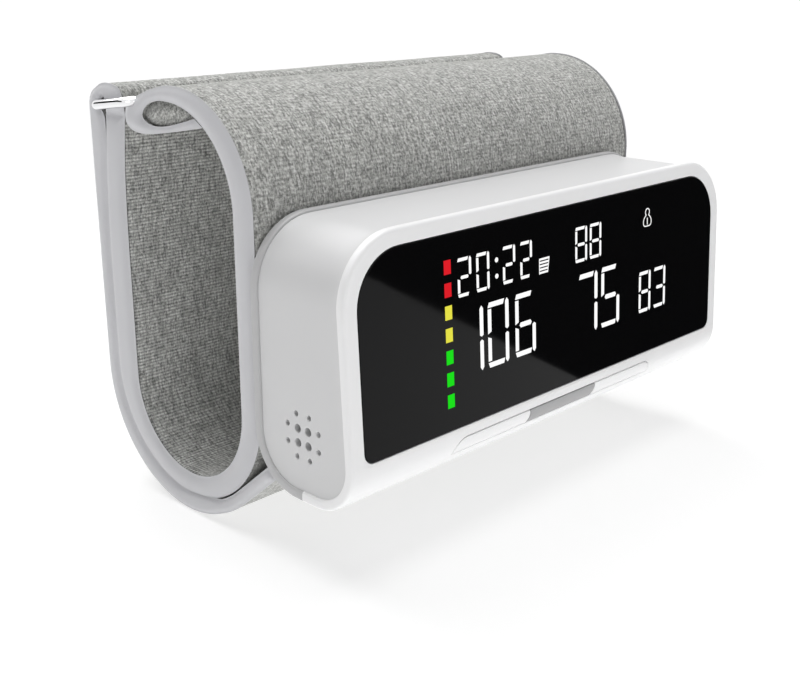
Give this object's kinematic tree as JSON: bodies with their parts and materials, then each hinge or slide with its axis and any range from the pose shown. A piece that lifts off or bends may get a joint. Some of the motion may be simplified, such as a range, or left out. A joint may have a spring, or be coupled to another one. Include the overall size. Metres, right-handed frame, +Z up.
{
  "type": "arm-in blood pressure monitor",
  "caption": "Upper-arm blood pressure monitor: a rounded housing with a dark display face and a push-button bar, fixed to a pre-formed cloth cuff closed by a strap through a metal ring.",
  "frame": {"origin": "midway under the monitor, on the plane that its lowest point, the strap's bottom, touches", "axes": "+X along the housing to the right seen from the display, -Y out of the display, +Z up"},
  "size_m": [0.1498, 0.0956, 0.1057],
  "materials": {
    "white_plastic": "satin white moulded shell",
    "shell_gray": "fine satin light gray",
    "rim_gray": "satin light gray",
    "window_black": "polished black",
    "lit_marks": "lit white",
    "white_button": "satin white",
    "gray_button": "satin gray",
    "board_green": "lacquered board",
    "dark_plastic": "matt dark",
    "inner_plastic": "plain moulded",
    "steel": "plain steel",
    "cell_sleeve": "shrink sleeve",
    "soft_seal": "soft black",
    "outer_fabric": "heather gray knit",
    "inner_fabric": "ribbed gray knit",
    "edge_fabric": "smooth light gray tape",
    "bag_film": "soft welded film",
    "hook_tape": "hook tape",
    "ring_chrome": "polished"
  },
  "bodies": {
    "monitor": {"front_cover": "white_plastic", "middle_shell": "shell_gray", "rear_cover": "rim_gray", "case_screws": "steel", "display_window": "window_black", "display_segments": "lit_marks", "display_panel": "inner_plastic", "tact_switches": "dark_plastic", "button_board": "board_green", "main_board": "board_green", "board_chips": "dark_plastic", "board_screws": "steel", "battery_cell": "cell_sleeve", "battery_holder": "dark_plastic", "speaker": "dark_plastic", "speaker_gasket": "soft_seal", "charge_board": "board_green", "charge_socket": "steel", "pump_motor": "steel", "pump_head": "dark_plastic", "pump_cradle": "soft_seal", "air_manifold": "inner_plastic", "air_nozzle": "inner_plastic", "pressure_sensor": "inner_plastic", "release_valve": "dark_plastic", "valve_bracket": "soft_seal", "outer_cloth": "outer_fabric", "cuff_stiffener": "inner_plastic", "air_bag": "bag_film", "inner_cloth": "inner_fabric", "left_edge_tape": "edge_fabric", "right_edge_tape": "edge_fabric", "cuff_bushes": "inner_plastic", "cuff_screws": "steel", "ring_sleeve": "outer_fabric", "strap_flap": "outer_fabric", "hook_patch": "hook_tape"},
    "left_button": {"left_button": "white_button"},
    "start_button": {"start_button": "gray_button"},
    "right_button": {"right_button": "white_button"},
    "ring": {"cuff_ring": "ring_chrome"},
    "shaft": {"pump_shaft": "steel"},
    "plunger": {"valve_plunger": "steel"}
  },
  "joints": [
    {"name": "left_press", "type": "slide", "parent": "monitor", "child": "left_button", "axis": [0, 0.9336, 0.3584], "range_m": [0, 0.0004], "stiffness_N_per_m": 400},
    {"name": "start_press", "type": "slide", "parent": "monitor", "child": "start_button", "axis": [0, 0.9336, 0.3584], "range_m": [0, 0.0004], "stiffness_N_per_m": 400},
    {"name": "right_press", "type": "slide", "parent": "monitor", "child": "right_button", "axis": [0, 0.9336, 0.3584], "range_m": [0, 0.0004], "stiffness_N_per_m": 400},
    {"name": "ring_swing", "type": "hinge", "parent": "monitor", "child": "ring", "pos_m": [0, 0.0278, 0.1005], "axis": [1, 0, 0], "range_deg": [-10, 1]},
    {"name": "shaft_spin", "type": "hinge", "parent": "monitor", "child": "shaft", "pos_m": [0, -0.028, 0.0338], "axis": [1, 0, 0], "continuous": true},
    {"name": "plunger_slide", "type": "slide", "parent": "monitor", "child": "plunger", "axis": [1, 0, 0], "range_m": [-0.0006, 0], "stiffness_N_per_m": 150}
  ]
}
